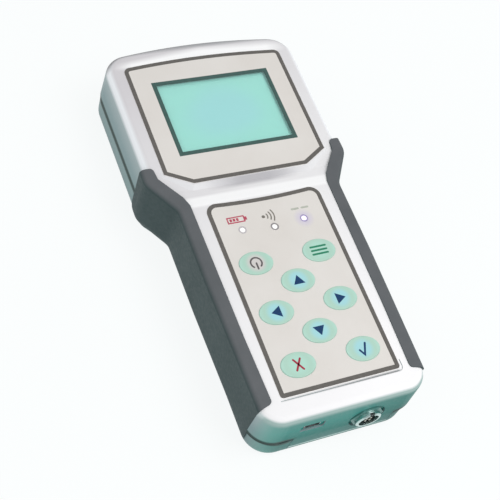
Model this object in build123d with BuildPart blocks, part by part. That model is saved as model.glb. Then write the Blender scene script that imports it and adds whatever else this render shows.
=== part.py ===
from build123d import *
from math import sqrt
import os

# Handheld microchip scanner, in millimetres, lying on its back.
# +Y points to the head, +Z out of the face, X across. The origin is on the flat
# back, at the middle of the casing's length and width.

os.makedirs("parts", exist_ok=True)

# ---------------------------------------------------------------- driving dimensions

# casing
case_length = 204.0
case_height = 34.4  # back to face; the keys stand 0.6 higher
head_half, handle_half = 50.0, 41.0  # half widths of the top shell, at the seam
low_head_half, low_handle_half = 49.6, 39.2  # the bottom shell is set in a little at the sides
end_y = -case_length / 2
top_y = case_length / 2
end_radius = 12.0  # plan corners of the lower end
head_radius = 13.0  # plan corners of the head
bow_radius = 300.0  # the head's end is slightly bowed
neck = (8.2, 21.6)  # the handle widens into the head between these
neck_radius = 9.0
draft = 2.5
face_fillet = 4.2
back_fillet = 5.0
wall = 2.4
seam_low, seam_high = 13.8, 15.2  # a dark gasket shows between the shells
seam_depth = 0.2

# rubber grips
grip_proud = 0.5
grip_top = case_height + grip_proud
grip_low = 3.5
grip_depth = 2.6  # thickness at the side
grip_pocket_depth = 1.6  # thickness on the face
grip_head_end, grip_head_radius = 30.8, 8.0  # seen from the side
grip_corners = (  # what the right grip covers, seen from above
    (33.0, -90.9),
    (33.9, -60.0),
    (34.6, 8.0),
    (36.4, 12.8),
    (44.6, 24.6),
    (45.2, 30.8),
    (60.0, 30.8),
    (60.0, -98.8),
)
core_handle = 38.5
core_head = head_half - grip_depth
core_neck = (9.0, 22.2)

grip_plan = (  # outer face of the right grip, run on past both of its ends
    (0.0, -110.0),
    (39.4, -110.0),
    (40.9, -30.0),
    (40.9, 6.4),
    (51.3, 23.2),
    (50.9, 45.0),
    (0.0, 45.0),
)
grip_plan_radii = (1.0, 200.0, 7.0, 9.0, 1.0)
grip_face_fillet, grip_back_fillet = 2.2, 8.0

# inside of the casing
cavity_neck = (12.0, 39.4)
cavity_handle = core_handle - wall
cavity_head = head_half - wall
cavity_top = case_height - wall

# port section of the lower end, which hangs from the top shell
tongue_left, tongue_right = -22.0, 27.0
tongue_low = 3.4
tongue_gap = 0.3

# printed panels
panel_thickness = 0.4
panel_top = case_height + 0.2
panel_low = panel_top - panel_thickness

# display: its panel, window and liquid-crystal module
display_half = 41.0
display_low = 19.4
display_corner_x, display_corner_y = 28.7, 26.5  # the cut-off lower corners
display_top_side, display_top_rise = 89.0, 2.1  # upper edge at the corners, and its arch
display_radius = 3.2  # upper corners
screen_y = 56.7
screen_width, screen_height = 60.6, 43.7
lcd_width, lcd_height = 58.2, 41.4
window_lip = 3.3
window_low = panel_low - 0.8
valley_depth = 1.3

# keypad
keypad_half = 28.6
keypad_low = -90.1
keypad_top, keypad_top_side = 5.8, 7.2
keypad_radius, keypad_low_radius = 5.2, 1.5
groove_offset, groove_width = 1.1, 0.4  # fine line below the keypad, hooked at one end
key_width, key_height = 16.0, 11.6
key_top = case_height + 0.6
key_gap = 0.15
key_column = 15.6
key_places = {
    "key_power": (-key_column, -26.8),
    "key_menu": (key_column, -26.8),
    "key_up": (0, -39.2),
    "key_left": (-key_column, -52.0),
    "key_right": (key_column, -52.0),
    "key_down": (0, -64.7),
    "key_cancel": (-key_column, -77.5),
    "key_ok": (key_column, -77.5),
}
flange_top = cavity_top - 0.3
flange_low = flange_top - 0.7
stem_low = 30.9
stem_radius = 1.6
dome_radius, dome_height = 3.8, 0.4

# status lights
light_places = {
    "status_lens_left": (-15.4, -9.1),
    "status_lens_middle": (0, -10.5),
    "status_lens_right": (15.4, -9.1),
}
light_radius = 1.2

# boards
keypad_board_top = 29.9
keypad_board_thickness = 1.2
keypad_board_low = keypad_board_top - keypad_board_thickness
main_board_top = 22.0
main_board_low = 20.4
main_board_half = 28.3
main_board_y = (-97.0, -6.0)
lcd_board_top = 28.0
lcd_board_low = 26.4

# ports in the lower end
connector_x, connector_z = 12.5, 18.4
connector_reach = 2.0  # past the lower end
connector_radius = 6.0
thread_radius = 5.6
socket_radius = 4.7
nut_seat_radius, nut_seat_depth = 8.6, 1.2
nut_across_flats, nut_thickness = 14.0, 1.1
usb_x, usb_z = -15.4, 23.95
usb_width, usb_height, usb_length = 7.7, 3.9, 9.2
usb_recess_width, usb_recess_height, usb_recess_depth = 11.5, 5.4, 1.2

# battery bay in the handle, opened from the back
bay_half = 29.7
bay_y = (-80.0, -26.0)
bay_top = 18.7
cell_radius, cell_length = 7.2, 50.0
door_half = 32.0
door_y = (-88.0, -24.0)
door_thickness = 1.2

# antenna, buzzer and rating label in the head
antenna_y = 66.0
antenna_width, antenna_height = 72.0, 56.0
antenna_low, antenna_high = 7.4, 14.6
antenna_posts_at = [(sx * 33.6, y) for y in (50.0, 82.0) for sx in (-1, 1)]
buzzer_y = 24.0
label_y, label_width, label_height, label_depth = 66.0, 52.0, 30.0, 0.3

# fasteners
case_shank, case_thread, case_seat = 1.5, 11.0, 3.6
board_shank, board_thread = 1.0, 3.2
case_screws_at = [(sx * x, y) for x, y in ((40.5, 88.0), (32.8, -2.0), (32.4, -92.4)) for sx in (-1, 1)]
lcd_screws_at = [(sx * 36.0, y) for y in (31.4, 81.4) for sx in (-1, 1)]
keypad_screws_at = [(sx * 24.5, y) for y in (-1.5, -87.5) for sx in (-1, 1)]
main_screws_at = [(sx * 25.0, y) for y in (-14.5, -93.0) for sx in (-1, 1)]
door_screws_at = [(sx * 21.5, -84.6) for sx in (-1, 1)]

CENTRED = (Align.CENTER, Align.CENTER, Align.CENTER)
BASE = (Align.CENTER, Align.CENTER, Align.MIN)  # a solid that stands on its place
HANGING = (Align.CENTER, Align.CENTER, Align.MAX)  # a solid that hangs from its place


# ---------------------------------------------------------------- shared shapes


def save(piece, name):
    """Name a finished piece and write its STEP file."""
    piece.part.label = name
    export_step(piece.part, f"parts/{name}.step")


def at_height(places, z):
    """Lift a list of plan positions to one height."""
    return [(x, y, z) for x, y in places]


def casing_plan(handle_x, head_x, low_y, high_y, neck, low_radius, high_radius):
    """Face of the casing from above: straight handle, S-shaped neck, bowed head."""
    bow_centre = high_y - bow_radius
    corner_x = head_x - high_radius
    corner_y = bow_centre + sqrt((bow_radius - high_radius) ** 2 - corner_x**2)
    reach = bow_radius / (bow_radius - high_radius)
    bow_end = (corner_x * reach, bow_centre + (corner_y - bow_centre) * reach)
    with BuildLine() as outline:
        side = FilletPolyline(
            (0, low_y),
            (handle_x, low_y),
            (handle_x, neck[0]),
            (head_x, neck[1]),
            (head_x, corner_y),
            radius=(low_radius, neck_radius, neck_radius),
        )
        head_corner = TangentArc(side @ 1, bow_end, tangent=side % 1)
        TangentArc(bow_end, (0, high_y), tangent=head_corner % 1)
        mirror(about=Plane.YZ)
    return make_face(outline.line)


def screw_group(places, seat, head_radius_, head_height, shank_radius, shank_length, upward=True):
    """Identical cross-head screws whose heads bear on the height `seat`."""
    turn = 1 if upward else -1
    with BuildPart() as group:
        for x, y in places:
            with BuildSketch(Plane.XY.offset(seat)):
                with Locations((x, y)):
                    Circle(head_radius_)
            extrude(amount=-turn * head_height)
            with BuildSketch(Plane.XY.offset(seat)):
                with Locations((x, y)):
                    Circle(shank_radius)
            extrude(amount=turn * shank_length)
            with BuildSketch(Plane.XY.offset(seat - turn * head_height)):
                with Locations((x, y)):
                    Rectangle(head_radius_ * 1.1, head_radius_ * 0.26)
                    Rectangle(head_radius_ * 0.26, head_radius_ * 1.1)
            extrude(amount=turn * head_height * 0.55, mode=Mode.SUBTRACT)
    return group


# ---------------------------------------------------------------- panel outlines

# display panel: lower corners cut off, upper edge arched
with BuildSketch() as display_outline:
    with BuildLine():
        bottom = Line((0, display_low), (display_corner_x, display_low))
        slant = Line(bottom @ 1, (display_half, display_corner_y))
        side = Line(slant @ 1, (display_half, display_top_side))
        SagittaArc(side @ 1, (-display_half, display_top_side), -display_top_rise)
        mirror((bottom, slant, side), about=Plane.YZ)
    make_face()
    fillet(vertices().group_by(Axis.Y)[-1], display_radius)

# keypad panel: its upper edge sags in the middle
with BuildSketch() as keypad_outline:
    with BuildLine():
        bottom = Line((-keypad_half, keypad_low), (keypad_half, keypad_low))
        side = Line(bottom @ 1, (keypad_half, keypad_top_side))
        ThreePointArc(side @ 1, (0, keypad_top), (-keypad_half, keypad_top_side))
        Line((-keypad_half, keypad_top_side), bottom @ 0)
    make_face()
    fillet(vertices().group_by(Axis.Y)[-1], keypad_radius)
    fillet(vertices().group_by(Axis.Y)[0], keypad_low_radius)

# ---------------------------------------------------------------- casing blank

# the whole casing as one block, before it is hollowed and split
with BuildPart() as blank:
    with BuildSketch(Plane.XY.offset(seam_low)):
        add(casing_plan(handle_half, head_half, end_y, top_y, neck, end_radius, head_radius))
    extrude(amount=case_height - seam_low, taper=draft)
    with BuildSketch():
        add(casing_plan(low_handle_half, low_head_half, end_y, top_y, neck, end_radius, head_radius))
    extrude(amount=seam_low)
    fillet(blank.edges().group_by(Axis.Z)[-1], face_fillet)
    fillet(blank.edges().group_by(Axis.Z)[0], back_fillet)
    # a shallow valley crosses the face between the keypad and the display
    with BuildSketch(Plane.YZ.offset(-60)):
        Polygon(
            (keypad_top_side + 0.6, case_height),
            (display_low - 2.2, case_height - valley_depth),
            (display_low + 11, case_height),
            align=None,
        )
    extrude(amount=120, mode=Mode.SUBTRACT)

# the display stands on a low mesa whose sloped flanks run down into the valley
with BuildPart() as mesa:
    for z, flare in ((case_height, 0.6), (case_height - valley_depth, 3.2)):
        with BuildSketch(Plane.XY.offset(z)):
            with BuildLine():
                Polyline(
                    (-display_half, 50),
                    (-display_half - flare, display_corner_y - 0.45 * flare),
                    (-display_corner_x - 0.45 * flare, display_low - flare),
                    (display_corner_x + 0.45 * flare, display_low - flare),
                    (display_half + flare, display_corner_y - 0.45 * flare),
                    (display_half, 50),
                    close=True,
                )
            make_face()
    loft()

# the casing under the grips
with BuildPart() as core:
    with BuildSketch(Plane.XY.offset(-1)):
        add(casing_plan(core_handle, core_head, end_y, top_y, core_neck, end_radius, head_radius))
    extrude(amount=case_height - grip_pocket_depth + 1)

with BuildPart() as grip_zone:
    with BuildSketch():
        Polygon(*grip_corners, align=None)
        fillet([corner for corner in vertices() if corner.X < 46], 2.0)
    extrude(amount=case_height + grip_low)
    with BuildSketch(Plane.YZ):
        Polygon((-110, grip_low), (grip_head_end, grip_low), (grip_head_end, 50), (-110, 50), align=None)
        fillet(vertices().sort_by(Axis.X)[-2:].sort_by(Axis.Y)[0], grip_head_radius)
    extrude(amount=70, mode=Mode.INTERSECT)
    add(core.part, mode=Mode.SUBTRACT)

with BuildPart() as case_outer:
    add(blank.part)
    add(mesa.part)
    add(grip_zone.part, mode=Mode.SUBTRACT)
    mirror(grip_zone.part, about=Plane.YZ, mode=Mode.SUBTRACT)


# ---------------------------------------------------------------- rubber grips

with BuildPart() as grip_right:
    with BuildSketch():
        with BuildLine():
            FilletPolyline(*grip_plan, radius=grip_plan_radii)
            Line((0, grip_plan[-1][1]), (0, grip_plan[0][1]))
        make_face()
    extrude(amount=grip_top)
    fillet([e for e in edges().group_by(Axis.Z)[-1] if e.center().X > core_handle], grip_face_fillet)
    fillet([e for e in edges().group_by(Axis.Z)[0] if e.center().X > core_handle], grip_back_fillet)
    add(grip_zone.part, mode=Mode.INTERSECT)
save(grip_right, "grip_right")

with BuildPart() as grip_left:
    mirror(grip_right.part, about=Plane.YZ)
save(grip_left, "grip_left")

# ---------------------------------------------------------------- hollow and seam

# the room inside both shells
with BuildPart() as cavity:
    with BuildSketch(Plane.XY.offset(wall)):
        add(
            casing_plan(
                cavity_handle,
                cavity_head,
                end_y + wall,
                top_y - wall,
                cavity_neck,
                end_radius - wall,
                head_radius - wall,
            )
        )
    extrude(amount=cavity_top - wall)

# what the top shell leaves to the bottom shell: everything below the seam but the tongue
with BuildPart() as below_seam:
    with Locations((0, 0, seam_high)):
        Box(130, 230, 40, align=HANGING)
    with Locations(((tongue_left + tongue_right) / 2, end_y + wall, tongue_low)):
        Box(
            tongue_right - tongue_left,
            2 * wall,
            40,
            align=(Align.CENTER, Align.MAX, Align.MIN),
            mode=Mode.SUBTRACT,
        )

# what the bottom shell leaves to the top shell, with a fine gap round the tongue
with BuildPart() as above_seam:
    with Locations((0, 0, seam_low)):
        Box(130, 230, 40, align=BASE)
    with Locations(((tongue_left + tongue_right) / 2, end_y - wall, tongue_low - tongue_gap)):
        Box(
            tongue_right - tongue_left + 2 * tongue_gap,
            2 * wall + tongue_gap,
            40,
            align=(Align.CENTER, Align.MIN, Align.MIN),
        )

with BuildPart() as shell_gasket:
    with BuildSketch(Plane.XY.offset(seam_low)):
        add(
            casing_plan(
                handle_half - seam_depth,
                head_half - seam_depth,
                end_y + seam_depth,
                top_y - seam_depth,
                neck,
                end_radius - seam_depth,
                head_radius - seam_depth,
            )
        )
    extrude(amount=seam_high - seam_low)
    add(case_outer.part, mode=Mode.INTERSECT)
    add(cavity.part, mode=Mode.SUBTRACT)
    with Locations(((tongue_left + tongue_right) / 2, end_y - wall, 0)):
        Box(
            tongue_right - tongue_left + 2 * tongue_gap,
            4 * wall,
            case_height,
            align=(Align.CENTER, Align.MIN, Align.MIN),
            mode=Mode.SUBTRACT,
        )
save(shell_gasket, "shell_gasket")

# ---------------------------------------------------------------- top shell

with BuildPart() as top_shell:
    add(case_outer.part)
    add(below_seam.part, mode=Mode.SUBTRACT)
    add(cavity.part, mode=Mode.SUBTRACT)

    # recesses for the two printed panels
    with BuildSketch(Plane.XY.offset(panel_low)):
        add(display_outline.sketch)
        add(keypad_outline.sketch)
    extrude(amount=case_height, mode=Mode.SUBTRACT)

    # fine groove just below the keypad, hooked round its lower right corner
    with BuildSketch(Plane.XY.offset(case_height - groove_width)):
        with BuildLine():
            FilletPolyline(
                (-keypad_half - 0.4, keypad_low - groove_offset),
                (keypad_half + groove_offset, keypad_low - groove_offset),
                (keypad_half + groove_offset, keypad_low + 4),
                radius=2.0,
            )
        trace(line_width=groove_width)
    extrude(amount=2 * groove_width, mode=Mode.SUBTRACT)

    # window opening, with a ledge that carries the window's lip
    with BuildSketch(Plane.XY.offset(window_low)):
        with Locations((0, screen_y)):
            RectangleRounded(screen_width + 2 * window_lip, screen_height + 2 * window_lip, 1.5)
    extrude(amount=case_height, mode=Mode.SUBTRACT)
    with Locations((0, screen_y, cavity_top)):
        Box(screen_width + 0.6, screen_height + 0.6, case_height, align=CENTRED, mode=Mode.SUBTRACT)

    # holes for the keys and the status lights
    with BuildSketch(Plane.XY.offset(cavity_top - 1)):
        with Locations(*key_places.values()):
            Ellipse(key_width / 2 + key_gap, key_height / 2 + key_gap)
        with Locations(*light_places.values()):
            Circle(light_radius)
    extrude(amount=case_height, mode=Mode.SUBTRACT)

    # bosses for the case screws, and short ones for the two boards under the face
    with Locations(*at_height(case_screws_at, seam_high)):
        Cylinder(3.6, cavity_top - seam_high, align=BASE)
    with Locations(*at_height(lcd_screws_at, lcd_board_top)):
        Cylinder(3.0, cavity_top - lcd_board_top, align=BASE)
    with Locations(*at_height(keypad_screws_at, keypad_board_top)):
        Cylinder(2.6, cavity_top - keypad_board_top, align=BASE)
    with Locations(*at_height(case_screws_at, seam_high)):
        Cylinder(case_shank, case_thread, align=BASE, mode=Mode.SUBTRACT)
    with Locations(*at_height(lcd_screws_at, lcd_board_top)):
        Cylinder(board_shank, board_thread, align=BASE, mode=Mode.SUBTRACT)
    with Locations(*at_height(keypad_screws_at, keypad_board_top)):
        Cylinder(board_shank, board_thread, align=BASE, mode=Mode.SUBTRACT)

    # port section: hole and shallow seat of the round connector
    with BuildSketch(Plane.XZ.offset(-end_y)):
        with Locations((connector_x, connector_z)):
            Circle(nut_seat_radius)
    extrude(amount=-nut_seat_depth, mode=Mode.SUBTRACT)
    with BuildSketch(Plane.XZ.offset(-end_y)):
        with Locations((connector_x, connector_z)):
            Circle(thread_radius)
    extrude(amount=-2 * wall, mode=Mode.SUBTRACT)

    # port section: rounded recess and opening of the data socket
    with BuildSketch(Plane.XZ.offset(-end_y)):
        with Locations((usb_x, usb_z)):
            RectangleRounded(usb_recess_width, usb_recess_height, 1.2)
    extrude(amount=-usb_recess_depth, mode=Mode.SUBTRACT)
    with BuildSketch(Plane.XZ.offset(-end_y)):
        with Locations((usb_x, usb_z)):
            RectangleRounded(usb_width + 0.3, usb_height + 0.3, 0.8)
    extrude(amount=-2 * wall, mode=Mode.SUBTRACT)
save(top_shell, "top_shell")

# ---------------------------------------------------------------- bottom shell

with BuildPart() as bottom_shell:
    add(case_outer.part)
    add(above_seam.part, mode=Mode.SUBTRACT)
    add(cavity.part, mode=Mode.SUBTRACT)

    # bosses of the case screws, and posts under the main board and the antenna former
    with Locations(*at_height(case_screws_at, wall)):
        Cylinder(4.1, seam_low - wall, align=BASE)
    with Locations(*at_height(main_screws_at, wall)):
        Cylinder(2.7, main_board_low - wall, align=BASE)
    with Locations(*at_height(antenna_posts_at, wall)):
        Cylinder(2.5, antenna_low - wall, align=BASE)
    with Locations(*at_height(door_screws_at, wall)):
        Cylinder(2.8, 5.0, align=BASE)
    with Locations(*at_height(case_screws_at, 0)):
        Cylinder(3.2, case_seat, align=BASE, mode=Mode.SUBTRACT)
        Cylinder(case_shank + 0.2, seam_low, align=BASE, mode=Mode.SUBTRACT)
    with Locations(*at_height(main_screws_at, main_board_low)):
        Cylinder(board_shank, board_thread, align=HANGING, mode=Mode.SUBTRACT)

    # battery bay: the opening, the recess of the door and its two screw holes
    with Locations((0, sum(bay_y) / 2, 0)):
        Box(2 * bay_half, bay_y[1] - bay_y[0], 4 * wall, align=CENTRED, mode=Mode.SUBTRACT)
    with Locations((0, sum(door_y) / 2, 0)):
        Box(2 * door_half, door_y[1] - door_y[0], 2 * door_thickness + 0.2, align=CENTRED, mode=Mode.SUBTRACT)
    with Locations(*at_height(door_screws_at, 0)):
        Cylinder(board_shank, 6.5, align=BASE, mode=Mode.SUBTRACT)

    # sound slots under the buzzer, and the shallow seat of the rating label
    with BuildSketch():
        with Locations((0, buzzer_y)):
            with GridLocations(0, 3.0, 1, 5):
                SlotOverall(13, 1.4)
    extrude(amount=wall, mode=Mode.SUBTRACT)
    with Locations((0, label_y, 0)):
        Box(label_width, label_height, 2 * label_depth, align=CENTRED, mode=Mode.SUBTRACT)
save(bottom_shell, "bottom_shell")

# ---------------------------------------------------------------- printed panels and window

with BuildPart() as display_panel:
    with BuildSketch(Plane.XY.offset(panel_low)):
        add(display_outline.sketch)
        with Locations((0, screen_y)):
            Rectangle(screen_width, screen_height, mode=Mode.SUBTRACT)
    extrude(amount=panel_thickness)
save(display_panel, "display_panel")

with BuildPart() as screen_window:
    with BuildSketch(Plane.XY.offset(window_low)):
        with Locations((0, screen_y)):
            RectangleRounded(screen_width + 2 * window_lip, screen_height + 2 * window_lip, 1.5)
    extrude(amount=panel_low - window_low)
    with BuildSketch(Plane.XY.offset(panel_low)):
        with Locations((0, screen_y)):
            Rectangle(screen_width, screen_height)
    extrude(amount=panel_thickness)
save(screen_window, "screen_window")

with BuildPart() as keypad_panel:
    with BuildSketch(Plane.XY.offset(panel_low)):
        add(keypad_outline.sketch)
        with Locations(*key_places.values()):
            Ellipse(key_width / 2 + key_gap, key_height / 2 + key_gap, mode=Mode.SUBTRACT)
        with Locations(*light_places.values()):
            Circle(light_radius, mode=Mode.SUBTRACT)
    extrude(amount=panel_thickness)
save(keypad_panel, "keypad_panel")

# ---------------------------------------------------------------- keys and lights

for name, place in key_places.items():
    with BuildPart() as key:
        with BuildSketch(Plane.XY.offset(flange_top)):
            with Locations(place):
                Ellipse(key_width / 2, key_height / 2)
        extrude(amount=key_top - flange_top)
        fillet(edges().group_by(Axis.Z)[-1], 0.3)
        with BuildSketch(Plane.XY.offset(flange_low)):
            with Locations(place):
                Ellipse(key_width / 2 + 1.0, key_height / 2 + 1.0)
        extrude(amount=flange_top - flange_low)
        with Locations((*place, stem_low)):
            Cylinder(stem_radius, flange_low - stem_low, align=BASE)
    save(key, name)

for name, place in light_places.items():
    with BuildPart() as lens:
        with Locations((*place, cavity_top - 0.6)):
            Cylinder(light_radius, panel_top - cavity_top + 0.6, align=BASE)
        fillet(edges().group_by(Axis.Z)[-1], 0.25)
        with Locations((*place, cavity_top - 0.6)):
            Cylinder(light_radius + 0.7, 0.6, align=BASE)
    save(lens, name)

with BuildPart() as status_leds:
    with Locations(*at_height(light_places.values(), keypad_board_top)):
        Box(2.0, 1.25, 0.8, align=BASE)
save(status_leds, "status_leds")

with BuildPart() as key_domes:
    for place in key_places.values():
        with BuildSketch(Plane.XY.offset(keypad_board_top)):
            with Locations(place):
                Circle(dome_radius)
        extrude(amount=dome_height, taper=60)
save(key_domes, "key_domes")

# ---------------------------------------------------------------- boards under the face

with BuildPart() as keypad_board:
    with BuildSketch(Plane.XY.offset(keypad_board_low)):
        with Locations((0, (keypad_low + keypad_top) / 2 - 2)):
            RectangleRounded(2 * keypad_half, keypad_top - keypad_low, 2.0)
        with Locations(*keypad_screws_at):
            Circle(board_shank, mode=Mode.SUBTRACT)
    extrude(amount=keypad_board_thickness)
save(keypad_board, "keypad_board")

with BuildPart() as lcd_board:
    with BuildSketch(Plane.XY.offset(lcd_board_low)):
        with Locations((0, screen_y)):
            RectangleRounded(78, 56, 1.5)
        with Locations(*lcd_screws_at):
            Circle(board_shank, mode=Mode.SUBTRACT)
    extrude(amount=lcd_board_top - lcd_board_low)
save(lcd_board, "lcd_board")

lcd_seat = cavity_top - 0.3
with BuildPart() as lcd_backlight:
    with Locations((0, screen_y, lcd_board_top)):
        Box(62, 46, lcd_seat - lcd_board_top, align=BASE)
save(lcd_backlight, "lcd_backlight")

with BuildPart() as lcd_bezel:
    with BuildSketch(Plane.XY.offset(lcd_seat)):
        with Locations((0, screen_y)):
            Rectangle(screen_width, screen_height)
            Rectangle(lcd_width, lcd_height, mode=Mode.SUBTRACT)
    extrude(amount=window_low - lcd_seat)
save(lcd_bezel, "lcd_bezel")

with BuildPart() as lcd_glass:
    with Locations((0, screen_y, lcd_seat)):
        Box(lcd_width, lcd_height, window_low - lcd_seat - 0.2, align=BASE)
save(lcd_glass, "lcd_glass")

# ---------------------------------------------------------------- main board and its chips

board_low_y, board_high_y = main_board_y
with BuildPart() as main_board:
    with BuildSketch(Plane.XY.offset(main_board_low)):
        with Locations((0, (board_low_y + board_high_y) / 2)):
            RectangleRounded(2 * main_board_half, board_high_y - board_low_y, 2.0)
        # notch for the body of the round connector
        with Locations((connector_x, board_low_y)):
            Rectangle(16.5, 26, mode=Mode.SUBTRACT)
        with Locations(*main_screws_at):
            Circle(board_shank, mode=Mode.SUBTRACT)
    extrude(amount=main_board_top - main_board_low)
save(main_board, "main_board")


def chip(name, place, width, length, height):
    """A square-cornered package on top of the main board, pin-one corner dimpled."""
    with BuildPart() as package:
        with Locations((*place, main_board_top)):
            Box(width, length, height, align=BASE)
        chamfer(edges().group_by(Axis.Z)[-1], 0.2)
        dimple = (place[0] - width / 2 + 1.2, place[1] + length / 2 - 1.2, main_board_top + height)
        with Locations(dimple):
            Cylinder(0.5, 0.3, align=HANGING, mode=Mode.SUBTRACT)
    save(package, name)


chip("processor_chip", (-6.0, -44.0), 12.0, 12.0, 1.4)
chip("reader_chip", (12.0, -24.0), 8.0, 10.0, 1.6)
chip("memory_chip", (-14.0, -62.0), 6.0, 5.0, 1.5)
chip("charger_chip", (-12.0, -80.0), 5.0, 5.0, 1.0)
chip("crystal", (8.0, -46.0), 4.8, 3.2, 1.2)

with BuildPart() as capacitors:
    with Locations((20.0, -40.0, main_board_top), (20.0, -50.0, main_board_top), (16.0, -72.0, main_board_top)):
        Cylinder(3.15, 5.4, align=BASE)
    fillet(edges().group_by(Axis.Z)[-1], 0.5)
save(capacitors, "capacitors")

# plug and socket strip between the main board and the keypad board
with BuildPart() as board_link:
    with Locations((-22.0, -36.0, main_board_top)):
        Box(5.0, 26.0, keypad_board_low - main_board_top, align=BASE)
save(board_link, "board_link")

# flat ribbon from the display board down to the main board
ribbon_width, ribbon_thickness = 22.0, 0.3
with BuildPart() as display_ribbon:
    with BuildSketch(Plane.YZ.offset(-ribbon_width / 2)):
        with BuildLine():
            FilletPolyline(
                (40.0, lcd_board_low - ribbon_thickness / 2),
                (22.0, lcd_board_low - ribbon_thickness / 2),
                (10.0, main_board_top + ribbon_thickness / 2),
                (-12.0, main_board_top + ribbon_thickness / 2),
                radius=3.0,
            )
        trace(line_width=ribbon_thickness)
    extrude(amount=ribbon_width)
save(display_ribbon, "display_ribbon")

# ---------------------------------------------------------------- head: antenna and buzzer

with BuildPart() as antenna_former:
    with BuildSketch(Plane.XY.offset(antenna_low)):
        with Locations((0, antenna_y)):
            RectangleRounded(antenna_width + 1.0, antenna_height + 1.0, 10.5)
    extrude(amount=antenna_high - antenna_low)
    with BuildSketch(Plane.XY.offset(antenna_low + 1.2)):
        with Locations((0, antenna_y)):
            RectangleRounded(antenna_width + 1.0, antenna_height + 1.0, 10.5)
            RectangleRounded(antenna_width - 10.0, antenna_height - 10.0, 5.0, mode=Mode.SUBTRACT)
    extrude(amount=antenna_high - antenna_low - 2.4, mode=Mode.SUBTRACT)
    with BuildSketch(Plane.XY.offset(antenna_low)):
        with Locations((0, antenna_y)):
            RectangleRounded(antenna_width - 12.4, antenna_height - 12.4, 3.8)
    extrude(amount=antenna_high, mode=Mode.SUBTRACT)
save(antenna_former, "antenna_former")

with BuildPart() as antenna_coil:
    with BuildSketch(Plane.XY.offset(antenna_low + 1.2)):
        with Locations((0, antenna_y)):
            RectangleRounded(antenna_width, antenna_height, 10.0)
            RectangleRounded(antenna_width - 10.0, antenna_height - 10.0, 5.0, mode=Mode.SUBTRACT)
    extrude(amount=antenna_high - antenna_low - 2.4)
save(antenna_coil, "antenna_coil")

with BuildPart() as buzzer:
    with Locations((0, buzzer_y, wall)):
        Cylinder(9.0, 4.6, align=BASE)
    fillet(edges().group_by(Axis.Z)[-1], 0.6)
    with Locations((0, buzzer_y, wall)):
        Cylinder(7.6, 0.8, align=BASE, mode=Mode.SUBTRACT)
save(buzzer, "buzzer")

# ---------------------------------------------------------------- ports in the lower end

front_y = end_y - connector_reach
seat_y = end_y + nut_seat_depth

with BuildPart() as connector_barrel:
    # bright collar outside, thread through the nut and the wall, flange inside
    with BuildSketch(Plane.XZ.offset(-front_y)):
        with Locations((connector_x, connector_z)):
            Circle(connector_radius)
    extrude(amount=front_y - seat_y + nut_thickness)
    chamfer(edges().group_by(Axis.Y)[0], 0.4)
    with BuildSketch(Plane.XZ.offset(-front_y)):
        with Locations((connector_x, connector_z)):
            Circle(thread_radius)
    extrude(amount=front_y - end_y - 14)
    with BuildSketch(Plane.XZ.offset(-end_y - wall)):
        with Locations((connector_x, connector_z)):
            Circle(connector_radius + 1.0)
    extrude(amount=-1.5)
    with BuildSketch(Plane.XZ.offset(-front_y)):
        with Locations((connector_x, connector_z)):
            Circle(socket_radius)
    extrude(amount=front_y - end_y - 14, mode=Mode.SUBTRACT)
    # keyway in the top of the rim
    with Locations((connector_x, front_y, connector_z + connector_radius)):
        Box(2.2, 3.0, 4.0, align=CENTRED, mode=Mode.SUBTRACT)
save(connector_barrel, "connector_barrel")

with BuildPart() as connector_nut:
    with BuildSketch(Plane.XZ.offset(-seat_y)):
        with Locations((connector_x, connector_z)):
            RegularPolygon(nut_across_flats / 2, 6, major_radius=False)
            Circle(thread_radius, mode=Mode.SUBTRACT)
    extrude(amount=nut_thickness)
save(connector_nut, "connector_nut")

insert_y = front_y + 2.6
post_y = front_y + 1.4
pin_circle, pin_radius = 1.5, 0.5
with BuildPart() as connector_insert:
    with BuildSketch(Plane.XZ.offset(-insert_y)):
        with Locations((connector_x, connector_z)):
            Circle(socket_radius)
    extrude(amount=insert_y - end_y - 14)
    with BuildSketch(Plane.XZ.offset(-post_y)):
        with Locations((connector_x, connector_z)):
            Circle(2.9)
    extrude(amount=post_y - insert_y)
    with BuildSketch(Plane.XZ.offset(-post_y)):
        with Locations((connector_x, connector_z)):
            with PolarLocations(pin_circle, 4, start_angle=45):
                Circle(pin_radius)
    extrude(amount=post_y - end_y - 14, mode=Mode.SUBTRACT)
save(connector_insert, "connector_insert")

with BuildPart() as connector_pins:
    with BuildSketch(Plane.XZ.offset(-post_y)):
        with Locations((connector_x, connector_z)):
            with PolarLocations(pin_circle, 4, start_angle=45):
                Circle(pin_radius)
    extrude(amount=0.8)
    extrude(faces().group_by(Axis.Y)[-1], amount=end_y + 16 - post_y)
save(connector_pins, "connector_pins")

usb_front = end_y + usb_recess_depth - 0.1
usb_back = usb_front + usb_length
with BuildPart() as usb_shell:
    with BuildSketch(Plane.XZ.offset(-usb_front)):
        with Locations((usb_x, usb_z)):
            RectangleRounded(usb_width, usb_height, 0.6)
    extrude(amount=-usb_length)
    with BuildSketch(Plane.XZ.offset(-usb_front)):
        with Locations((usb_x, usb_z)):
            RectangleRounded(usb_width - 0.7, usb_height - 0.7, 0.3)
    extrude(amount=1 - usb_length, mode=Mode.SUBTRACT)
save(usb_shell, "usb_shell")

with BuildPart() as usb_insert:
    with BuildSketch(Plane.XZ.offset(1 - usb_back)):
        with Locations((usb_x, usb_z)):
            RectangleRounded(usb_width - 0.7, usb_height - 0.7, 0.35)
    extrude(amount=1.5)
    with BuildSketch(Plane.XZ.offset(2.5 - usb_back)):
        with Locations((usb_x, usb_z + 0.3)):
            Rectangle(5.0, 1.1)
    extrude(amount=usb_length - 3.5)
save(usb_insert, "usb_insert")

# ---------------------------------------------------------------- battery

bay_width, bay_length = 2 * bay_half, bay_y[1] - bay_y[0]
bay_centre = sum(bay_y) / 2
tray_wall = 1.2

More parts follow.
